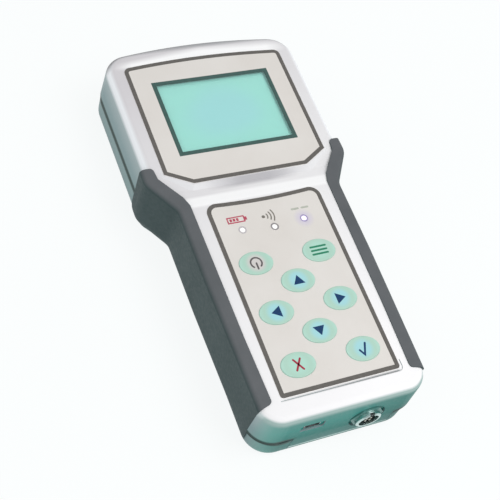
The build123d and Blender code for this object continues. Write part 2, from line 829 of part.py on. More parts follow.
with BuildPart() as battery_tray:
    with Locations((0, bay_centre, wall)):
        Box(bay_width + 2 * tray_wall, bay_length + 2 * tray_wall, bay_top + tray_wall - wall, align=BASE)
        Box(bay_width, bay_length, bay_top - wall, align=BASE, mode=Mode.SUBTRACT)
save(battery_tray, "battery_tray")

cell_pitch = 2 * cell_radius + 0.3
cell_z = wall + 1.0 + cell_radius
with BuildPart() as battery_cells:
    with BuildSketch(Plane.XZ.offset(-bay_centre - cell_length / 2)):
        with Locations((0, cell_z)):
            with GridLocations(cell_pitch, 0, 4, 1):
                Circle(cell_radius)
    extrude(amount=cell_length)
    fillet(edges().group_by(Axis.Y)[0], 0.8)
save(battery_cells, "battery_cells")

with BuildPart() as battery_contacts:
    for side in (-1, 1):
        gap = (bay_length - cell_length) / 2
        with Locations((0, bay_centre + side * (bay_length / 2 - 0.2), cell_z)):
            with GridLocations(cell_pitch, 0, 4, 1):
                Box(9.0, 0.4, 9.0, align=CENTRED)
        with BuildSketch(Plane.XZ.offset(-bay_centre - side * (bay_length / 2 - 0.4))):
            with Locations((0, cell_z)):
                with GridLocations(cell_pitch, 0, 4, 1):
                    Circle(2.4)
        extrude(amount=side * (gap - 0.4), taper=12)
save(battery_contacts, "battery_contacts")

door_gap = 0.3
with BuildPart() as battery_door:
    with Locations((0, sum(door_y) / 2, 0)):
        Box(2 * (door_half - door_gap), door_y[1] - door_y[0] - 2 * door_gap, door_thickness, align=BASE)
    fillet(edges().filter_by(Axis.Z), 1.5)
    with Locations((0, bay_centre, door_thickness)):
        Box(bay_width - 2 * door_gap, bay_length - 2 * door_gap, wall - door_thickness, align=BASE)
    # finger dimple ribs near the upper edge
    with Locations((0, door_y[1] - 9, 0)):
        with GridLocations(0, 3.0, 1, 3):
            Box(22, 1.0, 0.8, align=CENTRED, mode=Mode.SUBTRACT)
    with Locations(*at_height(door_screws_at, 0)):
        Cylinder(board_shank + 0.15, 3, align=BASE, mode=Mode.SUBTRACT)
        Cylinder(2.2, 0.9, align=BASE, mode=Mode.SUBTRACT)
save(battery_door, "battery_door")

# ---------------------------------------------------------------- fasteners and rating label

case_screws = screw_group(case_screws_at, case_seat, 2.8, 2.2, case_shank, seam_high + case_thread - case_seat)
save(case_screws, "case_screws")

door_screws = screw_group(door_screws_at, 0.9, 2.0, 0.8, board_shank, 5.0)
save(door_screws, "door_screws")

lcd_screws = screw_group(lcd_screws_at, lcd_board_low, 1.9, 1.3, board_shank, 4.6)
save(lcd_screws, "display_screws")

keypad_screws = screw_group(keypad_screws_at, keypad_board_low, 1.9, 1.3, board_shank, 4.2)
save(keypad_screws, "keypad_screws")

main_screws = screw_group(main_screws_at, main_board_top, 1.9, 1.3, board_shank, 4.6, upward=False)
save(main_screws, "main_board_screws")

with BuildPart() as rating_label:
    with BuildSketch(Plane.XY.offset(0.1)):
        with Locations((0, label_y)):
            RectangleRounded(label_width - 0.6, label_height - 0.6, 1.5)
    extrude(amount=label_depth - 0.1)
save(rating_label, "rating_label")
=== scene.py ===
import math

import bmesh
import bpy
from mathutils import Matrix, Vector
from mathutils.geometry import tessellate_polygon


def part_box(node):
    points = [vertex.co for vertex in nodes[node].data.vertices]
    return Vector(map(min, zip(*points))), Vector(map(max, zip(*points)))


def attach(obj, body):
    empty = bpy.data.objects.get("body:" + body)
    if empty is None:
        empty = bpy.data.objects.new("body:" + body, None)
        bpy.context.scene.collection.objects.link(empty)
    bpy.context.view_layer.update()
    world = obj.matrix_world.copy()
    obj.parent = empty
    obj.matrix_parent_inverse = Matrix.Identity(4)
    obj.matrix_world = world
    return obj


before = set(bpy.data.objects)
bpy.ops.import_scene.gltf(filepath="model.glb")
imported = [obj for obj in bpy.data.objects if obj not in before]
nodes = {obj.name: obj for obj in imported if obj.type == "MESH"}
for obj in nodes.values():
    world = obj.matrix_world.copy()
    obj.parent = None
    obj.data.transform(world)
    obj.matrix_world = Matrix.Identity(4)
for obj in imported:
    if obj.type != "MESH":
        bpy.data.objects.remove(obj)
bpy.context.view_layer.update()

# A handheld microchip scanner lying on its back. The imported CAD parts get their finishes
# here, and printed borders and signs and the soft skirts round the keys are added.
# Lengths are metres in the shared frame: +Y to the head, +Z out of the face.

MM = 0.001
ROOT = "casing"  # the body that fixed pieces ride with
INK = 0.04 * MM  # thickness of printed ink

# heights on the casing that its paint refers to
FACE_HEIGHT = 34 * MM
RIM_HEIGHT = (26 * MM, 29 * MM)  # the white of the face fades in between these
SEAM_HEIGHT = 14.2 * MM
LIP_HEIGHT = 6.0 * MM  # lower edge of the port section

# places along the casing that its paint refers to
LOWER_END = (-80 * MM, -90 * MM)  # what belongs to the lower end fades in between these
GROOVE_AT = -91 * MM
NECK_AT = 9.5 * MM
VALLEY_AT = 17.2 * MM  # foot of the slope below the display
HEAD_MARGIN = (96 * MM, 98.5 * MM)  # the shade at the head's outer margin fades in here


# ---------------------------------------------------------------- colours


def srgb(red, green, blue):
    """Linear colour from 0-255 screen values."""

    def channel(value):
        value /= 255
        return value / 12.92 if value <= 0.04045 else ((value + 0.055) / 1.055) ** 2.4

    return (channel(red), channel(green), channel(blue), 1.0)


def scaled(color, factor):
    """The colour made darker or lighter."""
    return tuple(min(1.0, channel * factor) for channel in color[:3]) + (1.0,)


SEAM = srgb(24, 50, 46)
BORDER = srgb(103, 100, 96)
SCREEN_BORDER = srgb(67, 96, 91)
LCD = srgb(147, 215, 214)
LCD_EDGE = srgb(146, 221, 207)
MINT = srgb(176, 214, 197)
HALO = srgb(164, 219, 226)
ARROW_BLUE = srgb(10, 58, 104)
CROSS_RED = srgb(168, 52, 72)
MENU_GREEN = srgb(46, 134, 102)
MARK_RED = srgb(190, 84, 102)
MARK_GREY = srgb(128, 124, 116)
MARK_FAINT = srgb(186, 190, 178)
VIOLET = srgb(196, 186, 226)
GLARE = srgb(254, 254, 254)


# ---------------------------------------------------------------- material helpers

NOISE_LOW, NOISE_HIGH = 0.3, 0.7  # most values of a noise texture lie between these


class Paint:
    """One node material, with short ways to add the nodes that this scene uses."""

    def __init__(self, name, roughness, metallic=0.0, color=(0.8, 0.8, 0.8, 1.0)):
        self.material = bpy.data.materials.new(name)
        self.material.use_nodes = True
        self.tree = self.material.node_tree
        self.shader = self.tree.nodes["Principled BSDF"]
        self.shader.inputs["Roughness"].default_value = roughness
        self.shader.inputs["Metallic"].default_value = metallic
        self.shader.inputs["Base Color"].default_value = color

    def node(self, kind, **settings):
        made = self.tree.nodes.new(kind)
        for key, value in settings.items():
            setattr(made, key, value)
        return made

    def link(self, source, target):
        self.tree.links.new(source, target)

    def coordinates(self, output="Object"):
        return self.node("ShaderNodeTexCoord").outputs[output]

    def axis(self, output, axis):
        """One axis of a coordinate output."""
        separate = self.node("ShaderNodeSeparateXYZ")
        self.link(self.coordinates(output), separate.inputs["Vector"])
        return separate.outputs[axis]

    def noise(self, scale, detail, stretch=(1, 1, 1)):
        """Noise over the object, stretched along its axes."""
        mapping = self.node("ShaderNodeMapping")
        mapping.inputs["Scale"].default_value = stretch
        self.link(self.coordinates(), mapping.inputs["Vector"])
        noise = self.node("ShaderNodeTexNoise")
        noise.inputs["Scale"].default_value = scale
        noise.inputs["Detail"].default_value = detail
        noise.inputs["Roughness"].default_value = 0.55
        self.link(mapping.outputs["Vector"], noise.inputs["Vector"])
        return noise.outputs["Fac"]

    def ramp(self, factor, *stops, smooth=False):
        """Colour ramp of (position, colour) stops."""
        ramp = self.node("ShaderNodeValToRGB")
        if smooth:
            ramp.color_ramp.interpolation = "EASE"
        elements = ramp.color_ramp.elements
        while len(elements) < len(stops):
            elements.new(0.5)
        for element, (position, color) in zip(elements, stops):
            element.position = position
            element.color = color
        self.link(factor, ramp.inputs["Fac"])
        return ramp.outputs["Color"]

    def range(self, value, low, high, to_low=0.0, to_high=1.0):
        """Linear map of a value, clamped."""
        mapped = self.node("ShaderNodeMapRange")
        limits = {"From Min": low, "From Max": high, "To Min": to_low, "To Max": to_high}
        for name, number in limits.items():
            mapped.inputs[name].default_value = number
        self.link(value, mapped.inputs["Value"])
        return mapped.outputs["Result"]

    def band(self, value, centre, outer, inner, strength=1.0):
        """Full strength near a centre value, fading from `inner` to nothing at `outer`."""
        away = self.math("ABSOLUTE", self.math("SUBTRACT", value, centre))
        return self.range(away, outer, inner, 0.0, strength)

    def spread(self, noise, to_low, to_high):
        """Noise stretched to the given limits."""
        return self.range(noise, NOISE_LOW, NOISE_HIGH, to_low, to_high)

    def mottle(self, noise, first, second):
        """Colour that wanders between two with the noise."""
        return self.ramp(noise, (NOISE_LOW, first), (NOISE_HIGH, second))

    def math(self, operation, first, second=None):
        made = self.node("ShaderNodeMath", operation=operation)
        for socket, value in zip(made.inputs, (first, second)):
            if isinstance(value, (int, float)):
                socket.default_value = value
            elif value is not None:
                self.link(value, socket)
        return made.outputs[0]

    def product(self, first, *others):
        for other in others:
            first = self.math("MULTIPLY", first, other)
        return first

    def mix(self, factor, first, second):
        """Mix of two colours; each may be a colour or a socket."""
        made = self.node("ShaderNodeMix", data_type="RGBA")
        factor_socket, first_socket, second_socket = (made.inputs[i] for i in (0, 6, 7))
        self.link(factor, factor_socket)
        for socket, value in ((first_socket, first), (second_socket, second)):
            if isinstance(value, tuple):
                socket.default_value = value
            else:
                self.link(value, socket)
        return made.outputs[2]

    def color(self, source):
        self.link(source, self.shader.inputs["Base Color"])

    def rough(self, source):
        self.link(source, self.shader.inputs["Roughness"])

    def bump(self, height, depth):
        """Relief of the given depth in metres."""
        bump = self.node("ShaderNodeBump")
        bump.inputs["Strength"].default_value = 1.0
        bump.inputs["Distance"].default_value = depth
        self.link(height, bump.inputs["Height"])
        self.link(bump.outputs["Normal"], self.shader.inputs["Normal"])


# ---------------------------------------------------------------- materials


def moulded(name, color, roughness):
    """Moulded plastic: fine spark texture and a faint unevenness of colour and gloss."""
    paint = Paint(name, roughness)
    paint.color(paint.mottle(paint.noise(60, 3), scaled(color, 0.96), scaled(color, 1.04)))
    paint.rough(paint.spread(paint.noise(900, 2), roughness - 0.05, roughness + 0.05))
    paint.bump(paint.noise(2600, 2), 0.012 * MM)
    return paint.material


class CasingPaint(Paint):
    """Casing: white face, grey-teal sides and back, deeper teal lower end; painted shade darkens the walls
    against the face, the lower end most.

    Each method gives a region's colour, or the strength of a light or a shade on it.
    """

    def __init__(self, name):
        super().__init__(name, 0.38)
        self.along = self.axis("Normal", "Y")
        self.up = self.axis("Normal", "Z")
        self.across = self.axis("Object", "X")
        self.length = self.axis("Object", "Y")
        self.height = self.axis("Object", "Z")
        self.from_middle = self.math("ABSOLUTE", self.across)
        self.rise = self.range(self.height, 0.0, FACE_HEIGHT)
        self.at_end = self.range(self.length, *LOWER_END)

    def side(self):
        """Long sides, grey-teal with painted shade that pales upwards, and the head's end, light grey."""
        side = self.ramp(
            self.rise,
            (0.08, srgb(124, 144, 146)),
            (0.24, srgb(128, 153, 154)),
            (0.40, srgb(130, 155, 156)),
            (0.60, srgb(134, 157, 160)),
            (0.88, srgb(162, 178, 180)),
        )
        return self.mix(self.range(self.along, 0.2, 0.8), side, srgb(188, 189, 190))

    def end(self):
        """Lower end: teal, with painted shading deepest at half height and paler above and below."""
        return self.ramp(
            self.rise,
            (0.08, srgb(90, 140, 134)),
            (0.24, srgb(66, 122, 117)),
            (0.46, srgb(30, 120, 112)),
            (0.72, srgb(53, 142, 133)),
            (0.92, srgb(78, 145, 138)),
        )

    def lip_sheen(self, end):
        """The port section's lower edge with a painted highlight, and painted shade on the foot below it.
        """
        foot = self.range(self.height, LIP_HEIGHT - 0.7 * MM, LIP_HEIGHT - 1.3 * MM, 0.0, 0.7)
        end = self.mix(foot, end, srgb(44, 96, 88))
        edge = self.band(self.height, LIP_HEIGHT, 0.9 * MM, 0.4 * MM, 0.6)
        return self.mix(edge, end, srgb(214, 238, 233))

    def lit_end(self, end):
        """Light on the lower end: more at its rounded left corner, less on its right half."""
        corner = self.range(self.across, -27 * MM, -37 * MM, 0.0, 0.6)
        end = self.mix(corner, end, srgb(142, 194, 186))
        return self.mix(self.range(self.across, 2 * MM, 30 * MM, 0.0, 0.45), end, srgb(24, 92, 86))

    def seam(self):
        """Shadow along the seam, which stops at the port section."""
        left = self.range(self.across, -20 * MM, -25 * MM)
        right = self.range(self.across, 26 * MM, 30 * MM)
        beside = self.math("MAXIMUM", left, right)
        beside = self.math("MAXIMUM", beside, self.range(self.length, -60 * MM, -50 * MM))
        return self.product(self.band(self.height, SEAM_HEIGHT, 2.8 * MM, 1.8 * MM, 0.95), beside)

    def brim(self):
        """Rounded edges round the face: white as a painted highlight, and grey or teal with painted shade
        where they face along Y.
        """
        left, right = self.range(self.across, -28 * MM, -5 * MM), self.range(self.across, 34 * MM, 16 * MM)
        # painted shade on the slope below the display, lighter towards both ends of it
        slope = self.mix(self.product(left, right), srgb(242, 242, 244), srgb(164, 162, 166))
        slope = self.mix(self.at_end, slope, srgb(166, 190, 186))
        brim = self.mix(self.range(self.along, -0.1, -0.5), srgb(248, 251, 254), slope)
        return self.mix(self.range(self.along, 0.1, 0.5), brim, srgb(146, 146, 148))

    def face_light_gradient(self):
        """The face with a painted light gradient: brighter towards the lower end and the right, greyer
        towards the head and the left.
        """
        down, right = self.math("MULTIPLY", self.length, -4.2), self.math("MULTIPLY", self.across, 2.9)
        light_level = self.math("ADD", self.math("ADD", down, right), self.spread(self.noise(30, 3), 0.48, 0.56))
        return self.ramp(
            light_level,
            (0.0, srgb(213, 210, 213)),
            (0.5, srgb(236, 235, 236)),
            (1.0, srgb(254, 253, 254)),
        )

    def face(self):
        """The face, with painted highlights at the neck and above the display, and painted shade in the
        valley between, at the head's outer margin and round the groove.
        """
        face = self.face_light_gradient()
        face = self.mix(self.band(self.length, NECK_AT, 3.4 * MM, 2.0 * MM, 0.9), face, GLARE)
        valley = self.band(self.length, VALLEY_AT, 3.4 * MM, 1.4 * MM, 0.85)
        valley = self.product(valley, self.range(self.from_middle, 24 * MM, 8 * MM))
        face = self.mix(valley, face, srgb(186, 184, 188))
        face = self.mix(self.range(self.length, *HEAD_MARGIN, 0.0, 0.9), face, srgb(158, 159, 161))
        return self.mix(self.crest(), self.mix(self.groove(), face, srgb(168, 166, 168)), GLARE)

    def groove(self):
        """Soft shadow around the groove below the keys, stronger to the right."""
        line = self.band(self.length, GROOVE_AT, 0.8 * MM, 0.3 * MM)
        ends = self.range(self.from_middle, 29 * MM, 27 * MM)
        return self.product(line, ends, self.range(self.across, -30 * MM, 15 * MM, 0.2, 0.8))

    def crest(self):
        """Highlight above the display, which bows with the head's end."""
        bowed = self.math("ADD", self.length, self.math("MULTIPLY", self.from_middle, 0.08))
        bowed = self.math("SUBTRACT", bowed, self.math("MULTIPLY", self.across, 0.02))
        lower, upper = self.range(self.length, 88 * MM, 90 * MM), self.range(bowed, 97.5 * MM, 94.5 * MM)
        return self.product(lower, upper, self.range(self.from_middle, 46 * MM, 36 * MM))


def casing_paint(name, lip=False):
    """The casing's paint; with `lip`, the lower edge of the port section gets a painted highlight and
    painted shade below it.
    """
    paint = CasingPaint(name)
    end = paint.end()
    if lip:
        # painted highlight on the port section's lower edge, painted shade on the foot below it
        end = paint.lip_sheen(end)
    wall = paint.mix(paint.range(paint.along, -0.35, -0.9), paint.side(), paint.lit_end(end))
    wall = paint.mix(paint.seam(), wall, srgb(38, 66, 62))
    # only the rim of the face is white: ledges lower down keep the colour of the walls
    high = paint.range(paint.height, *RIM_HEIGHT)
    wall = paint.mix(paint.product(paint.range(paint.up, 0.05, 0.5), high), wall, paint.brim())
    # the white reaches further down the rounded edge of the lower end
    level = paint.math("ADD", paint.up, paint.math("MULTIPLY", paint.at_end, 0.14))
    paint.color(paint.mix(paint.product(paint.range(level, 0.78, 0.98), high), wall, paint.face()))
    paint.rough(paint.spread(paint.noise(800, 2), 0.34, 0.44))
    paint.shader.inputs["Specular IOR Level"].default_value = 0.1
    paint.bump(paint.noise(2600, 2), 0.008 * MM)
    return paint.material


def rubber():
    """Grip rubber: matt, slightly mottled and finely grained, paler on top as painted light."""
    paint = Paint("grip_rubber", 0.6)
    clouds = paint.noise(70, 4)
    side = paint.mottle(clouds, srgb(51, 69, 70), srgb(59, 76, 77))
    top = paint.mottle(clouds, srgb(92, 96, 99), srgb(100, 103, 106))
    paint.color(paint.mix(paint.range(paint.axis("Normal", "Z"), 0.3, 0.98), side, top))
    paint.rough(paint.spread(paint.noise(700, 3), 0.5, 0.66))
    paint.shader.inputs["Specular IOR Level"].default_value = 0.25
    paint.bump(paint.noise(1800, 3), 0.02 * MM)
    return paint.material


def printed_panel(name, glow_at=None):
    """Printed polyester label: warm grey with a very fine texture, and a lit status light's glow."""
    paint = Paint(name, 0.45)
    color = paint.mottle(paint.noise(35, 3), srgb(223, 218, 212), srgb(229, 225, 220))
    if glow_at is not None:
        distance = paint.node("ShaderNodeVectorMath", operation="DISTANCE")
        paint.link(paint.coordinates(), distance.inputs[0])
        distance.inputs[1].default_value = glow_at
        near = paint.range(distance.outputs["Value"], 1.0 * MM, 5.2 * MM, 0.6, 0.0)
        color = paint.mix(near, color, VIOLET)
    paint.color(color)
    paint.rough(paint.spread(paint.noise(1200, 2), 0.4, 0.5))
    paint.bump(paint.noise(3400, 2), 0.006 * MM)
    return paint.material


def key_paint(name, halo):
    """Printed key: mint, lighter or bluer in the middle."""
    paint = Paint(name, 0.42)
    distance = paint.node("ShaderNodeVectorMath", operation="LENGTH")
    mapping = paint.node("ShaderNodeMapping", vector_type="POINT")
    mapping.inputs["Location"].default_value = (-1.0, -0.75, 0.0)
    mapping.inputs["Scale"].default_value = (2.0, 1.5, 0.0)
    paint.link(paint.coordinates("Generated"), mapping.inputs["Vector"])
    paint.link(mapping.outputs["Vector"], distance.inputs[0])
    color = paint.ramp(
        distance.outputs["Value"],
        (0.28, halo),
        (0.62, MINT),
        (0.88, srgb(180, 221, 206)),
        (0.99, srgb(206, 218, 208)),
        smooth=True,
    )
    paint.color(paint.mix(paint.spread(paint.noise(160, 3), 0.0, 0.12), color, srgb(196, 226, 212)))
    paint.bump(paint.noise(3400, 2), 0.006 * MM)
    return paint.material


def lcd_paint():
    """Liquid-crystal glass: aqua, greener to the edges, with a faint dot grid."""
    paint = Paint("lcd_aqua", 0.16)
    low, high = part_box("lcd_glass")
    centre, size = (low + high) / 2, high - low
    # the glass reaches from -1 to 1 on both axes
    mapping = paint.node("ShaderNodeMapping", vector_type="POINT")
    mapping.inputs["Scale"].default_value = (2 / size.x, 2 / size.y, 0.0)
    mapping.inputs["Location"].default_value = (0.0, -2 * centre.y / size.y, 0.0)
    paint.link(paint.coordinates(), mapping.inputs["Vector"])
    distance = paint.node("ShaderNodeVectorMath", operation="LENGTH")
    paint.link(mapping.outputs["Vector"], distance.inputs[0])
    reach = paint.math("ADD", distance.outputs["Value"], paint.spread(paint.noise(26, 2), -0.12, 0.12))
    color = paint.ramp(reach, (0.45, LCD), (0.958, LCD_EDGE), smooth=True)
    checker = paint.node("ShaderNodeTexChecker")
    checker.inputs["Scale"].default_value = 1 / (0.45 * MM)
    paint.link(paint.coordinates(), checker.inputs["Vector"])
    grid = paint.range(checker.outputs["Fac"], 0, 1, 0.0, 0.025)
    paint.color(paint.mix(grid, color, srgb(120, 190, 180)))
    paint.shader.inputs["Emission Color"].default_value = LCD
    paint.shader.inputs["Emission Strength"].default_value = 0.1
    paint.shader.inputs["Coat Weight"].default_value = 0.4
    paint.shader.inputs["Coat Roughness"].default_value = 0.08
    return paint.material


def clear_window():
    """Clear display window."""
    paint = Paint("window_clear", 0.07, color=srgb(235, 250, 248))
    paint.shader.inputs["Alpha"].default_value = 0.08
    paint.rough(paint.spread(paint.noise(240, 2), 0.05, 0.1))
    return paint.material


def metal(name, color, roughness):
    """Machined or plated metal with fine drawn lines."""
    paint = Paint(name, roughness, 1.0, color)
    lines = paint.noise(700, 3, stretch=(1, 6, 1))
    paint.rough(paint.spread(lines, 0.5 * roughness, 1.5 * roughness))
    paint.color(paint.mix(paint.range(lines, 0.35, 0.65), scaled(color, 0.86), color))
    paint.bump(lines, 0.002 * MM)
    return paint.material


def board_paint():
    """Circuit board: green solder mask over a faint pattern of tracks."""
    paint = Paint("board_green", 0.3)
    brick = paint.node("ShaderNodeTexBrick")
    brick.inputs["Scale"].default_value = 260
    brick.inputs["Mortar Size"].default_value = 0.012
    paint.link(paint.coordinates(), brick.inputs["Vector"])
    brick.inputs["Color1"].default_value = srgb(22, 92, 52)
    brick.inputs["Color2"].default_value = srgb(26, 104, 58)
    brick.inputs["Mortar"].default_value = srgb(70, 140, 84)
    paint.color(brick.outputs["Color"])
    paint.bump(brick.outputs["Fac"], 0.02 * MM)
    return paint.material


def winding_paint():
    """Enamelled copper wire: fine rounds stacked along the coil's height."""
    paint = Paint("copper_winding", 0.32, 0.9)
    wave = paint.node("ShaderNodeTexWave", bands_direction="Z")
    wave.inputs["Scale"].default_value = 1 / (0.9 * MM)
    wave.inputs["Distortion"].default_value = 0.4
    paint.link(paint.coordinates(), wave.inputs["Vector"])
    paint.color(paint.ramp(wave.outputs["Fac"], (0.1, srgb(110, 52, 26)), (0.7, srgb(206, 120, 70))))
    paint.bump(wave.outputs["Fac"], 0.08 * MM)
    return paint.material


def cell_paint():
    """Battery wrap with a metal look at both ends."""
    paint = Paint("cell_wrap", 0.28)
    end = paint.range(paint.math("ABSOLUTE", paint.axis("Normal", "Y")), 0.7, 0.8)
    wrap = paint.mottle(paint.noise(90, 2), srgb(24, 88, 84), srgb(34, 104, 98))
    paint.color(paint.mix(end, wrap, srgb(186, 188, 190)))
    return paint.material


def lens_paint(name, color, glow, strength):
    """Light-guide lens of a status light."""
    paint = Paint(name, 0.2)
    paint.color(paint.mottle(paint.noise(1500, 2), scaled(color, 0.94), color))
    paint.shader.inputs["Emission Color"].default_value = glow
    paint.shader.inputs["Emission Strength"].default_value = strength
    return paint.material


def ink(name, color):
    """Printed ink, a little uneven."""
    paint = Paint(name, 0.6)
    paint.shader.inputs["Specular IOR Level"].default_value = 0.3
    paint.color(paint.mottle(paint.noise(700, 3), scaled(color, 0.88), scaled(color, 1.1)))
    return paint.material


def finish_node(material, *names):
    """Give CAD nodes their finish."""
    for name in names:
        data = nodes[name].data
        data.materials.clear()
        data.materials.append(material)


BLACK_NODES = (
    "processor_chip",
    "reader_chip",
    "memory_chip",
    "charger_chip",
    "buzzer",
    "connector_insert",
    "usb_insert",
    "board_link",
)
STEEL_NODES = (
    "key_domes",
    "case_screws",
    "door_screws",
    "display_screws",
    "keypad_screws",
    "main_board_screws",
    "crystal",
    "capacitors",
    "usb_shell",
    "battery_contacts",
)


def finish_all_nodes():
    """A finish for every CAD node."""
    finish_node(casing_paint("casing_white", lip=True), "top_shell")
    finish_node(casing_paint("shell_teal"), "bottom_shell", "battery_door")
    finish_node(rubber(), "grip_left", "grip_right")
    finish_node(moulded("gasket_rubber", SEAM, 0.7), "shell_gasket")
    finish_node(printed_panel("panel_print"), "display_panel")
    low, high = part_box("status_lens_right")
    glow_at = ((low.x + high.x) / 2, (low.y + high.y) / 2, high.z)
    finish_node(printed_panel("keypad_print", glow_at), "keypad_panel")
    finish_node(clear_window(), "screen_window")
    finish_node(key_paint("key_plain", srgb(178, 222, 206)), "key_menu", "key_cancel")
    finish_node(key_paint("key_power", srgb(214, 208, 206)), "key_power")
    finish_node(key_paint("key_halo", HALO), "key_up", "key_left", "key_right", "key_down", "key_ok")
    # the left and middle lenses' faint glow is painted brightness; only the right status light is lit
    lens_white = lens_paint("lens_white", srgb(252, 252, 252), srgb(255, 255, 255), 0.25)
    finish_node(lens_white, "status_lens_left", "status_lens_middle")
    lens_lit = lens_paint("lens_lit", srgb(246, 242, 255), srgb(226, 214, 255), 0.9)
    finish_node(lens_lit, "status_lens_right")
    finish_node(lcd_paint(), "lcd_glass")
    finish_node(moulded("lcd_bezel", SCREEN_BORDER, 0.5), "lcd_bezel")
    finish_node(moulded("backlight_white", srgb(236, 238, 236), 0.35), "lcd_backlight")
    finish_node(board_paint(), "keypad_board", "lcd_board", "main_board")
    finish_node(moulded("chip_black", srgb(34, 35, 37), 0.4), *BLACK_NODES)
    finish_node(moulded("led_body", srgb(240, 236, 200), 0.3), "status_leds")
    finish_node(metal("steel", srgb(196, 198, 200), 0.3), *STEEL_NODES)
    finish_node(metal("chrome", srgb(196, 220, 217), 0.2), "connector_barrel")
    finish_node(moulded("nut_teal", srgb(74, 134, 127), 0.4), "connector_nut")
    finish_node(metal("pin_nickel", srgb(214, 214, 200), 0.22), "connector_pins")
    finish_node(winding_paint(), "antenna_coil")
    finish_node(moulded("inner_plastic", srgb(52, 54, 56), 0.5), "antenna_former", "battery_tray")
    finish_node(cell_paint(), "battery_cells")
    finish_node(moulded("amber_film", srgb(198, 120, 40), 0.25), "display_ribbon")
    finish_node(moulded("label_silver", srgb(206, 208, 208), 0.35), "rating_label")


# ---------------------------------------------------------------- printed pieces


def merged(mesh):
    """The mesh as a bmesh with its split corners joined."""
    made = bmesh.new()
    made.from_mesh(mesh)
    bmesh.ops.remove_doubles(made, verts=made.verts, dist=1e-6)
    return made


def top_loops(node):
    """Closed outlines, longest first, of a CAD node's flat top face, as lists of (x, y)."""
    mesh = merged(nodes[node].data)
    top = max(vertex.co.z for vertex in mesh.verts)
    flat = {f for f in mesh.faces if f.normal.z > 0.99 and abs(f.calc_center_median().z - top) < 1e-5}
    follows = {}
    for face in flat:
        for loop in face.loops:
            if not any(other in flat for other in loop.edge.link_faces if other is not face):
                follows[loop.vert] = loop.link_loop_next.vert
    loops = []
    while follows:
        start, vertex = follows.popitem()
        path = [start.co.xy.copy()]
        while vertex is not start:
            path.append(vertex.co.xy.copy())
            vertex = follows.pop(vertex)
        loops.append(path)
    mesh.free()
    loops.sort(key=lambda path: -sum((a - b).length for a, b in zip(path, path[1:])))
    return loops


def inset(path, distance):
    """The closed outline moved to its left by a distance, corners kept sharp."""
    moved = []
    for before, here, after in zip(path[-1:] + path[:-1], path, path[1:] + path[:1]):
        first, second = (here - before).normalized(), (after - here).normalized()
        normal = Vector((-first.y - second.y, first.x + second.x)).normalized()
        lean = max(0.35, normal.dot(Vector((-second.y, second.x))))
        moved.append(here + normal * (distance / lean))
    return moved


def thin_out(path, shortest=0.05 * MM):
    """Drop points that nearly coincide."""
    kept = [path[0]]
    for point in path[1:]:
        if (point - kept[-1]).length > shortest:
            kept.append(point)
    if (kept[0] - kept[-1]).length < shortest:
        kept.pop()
    return kept


SLIVER = 1e-14  # twice the area below which a triangle is left out


def prism(name, loops, low, high, material, body=ROOT):
    """A thin plate with holes: the first loop is its outline, the others are holes."""
    mesh = bmesh.new()
    flat = [[Vector((x, y, 0)) for x, y in loop] for loop in loops]
    points = [point for loop in flat for point in loop]
    rims = [[mesh.verts.new((p.x, p.y, z)) for p in points] for z in (low, high)]
    for triangle in tessellate_polygon(flat):
        corners = [points[i] for i in triangle]
        area = (corners[1] - corners[0]).cross(corners[2] - corners[0]).z
        if abs(area) < SLIVER:
            continue
        order = triangle if area > 0 else tuple(reversed(triangle))
        mesh.faces.new([rims[1][i] for i in order])
        mesh.faces.new([rims[0][i] for i in reversed(order)])
    start = 0
    for loop in flat:
        count = len(loop)
        for i in range(count):
            a, b = start + i, start + (i + 1) % count
            mesh.faces.new((rims[0][a], rims[0][b], rims[1][b], rims[1][a]))
        start += count
    bmesh.ops.recalc_face_normals(mesh, faces=mesh.faces)
    data = bpy.data.meshes.new(name)
    mesh.to_mesh(data)
    mesh.free()
    data.materials.append(material)
    made = bpy.data.objects.new(name, data)
    bpy.context.scene.collection.objects.link(made)
    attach(made, body)


def polar(centre, radius, angle):
    """Point at a distance and an angle (radians) from a centre."""
    return Vector((centre[0] + radius * math.cos(angle), centre[1] + radius * math.sin(angle)))


def circle(centre, radius, count=48):
    """Points of a circle."""
    return [polar(centre, radius, 2 * math.pi * i / count) for i in range(count)]


def arc(centre, radius, start, end, count=28):
    """Points along an arc, angles in degrees."""
    angles = (math.radians(start + (end - start) * i / count) for i in range(count + 1))
    return [polar(centre, radius, angle) for angle in angles]


def rectangle(centre, width, height):
    """Corners of a rectangle, anticlockwise."""
    x, y = width / 2, height / 2
    corners = ((-x, -y), (x, -y), (x, y), (-x, y))
    return [Vector((centre[0] + dx, centre[1] + dy)) for dx, dy in corners]


def stroke(points, width):
    """Outline of a line of even width with round ends."""
    left, right = [], []
    for i, here in enumerate(points):
        before, after = points[max(0, i - 1)], points[min(len(points) - 1, i + 1)]
        first = (here - before).normalized() if i else (after - here).normalized()
        second = (after - here).normalized() if i < len(points) - 1 else first
        normal = Vector((-first.y - second.y, first.x + second.x)).normalized()
        lean = max(0.5, normal.dot(Vector((-second.y, second.x))))
        left.append(here + normal * width / 2 / lean)
        right.append(here - normal * width / 2 / lean)

    def cap(centre, start):
        """Half a turn from a start point to the line's other side."""
        steps = 6
        angles = [-math.pi * k / steps for k in range(1, steps)]
        return [centre + Matrix.Rotation(angle, 2) @ (start - centre) for angle in angles]

    return left + cap(points[-1], left[-1]) + right[::-1] + cap(points[0], right[0])


def placed(*points):
    """Points given in millimetres."""
    return [Vector((x * MM, y * MM)) for x, y in points]


def border(name, node, width, material):
    """A printed border along the edge of a node's top face."""
    outline = thin_out(top_loops(node)[0])
    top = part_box(node)[1].z
    prism(name, [inset(outline, 0.02 * MM), inset(outline, width)], top, top + INK, material)


def printed_borders():
    """Dark borders along the edges of both panels and of the display window."""
    dark = ink("border_ink", BORDER)
    border("display_border", "display_panel", 2.0 * MM, dark)
    border("keypad_border", "keypad_panel", 2.0 * MM, dark)
    border("screen_border", "screen_window", 2.1 * MM, ink("screen_ink", SCREEN_BORDER))


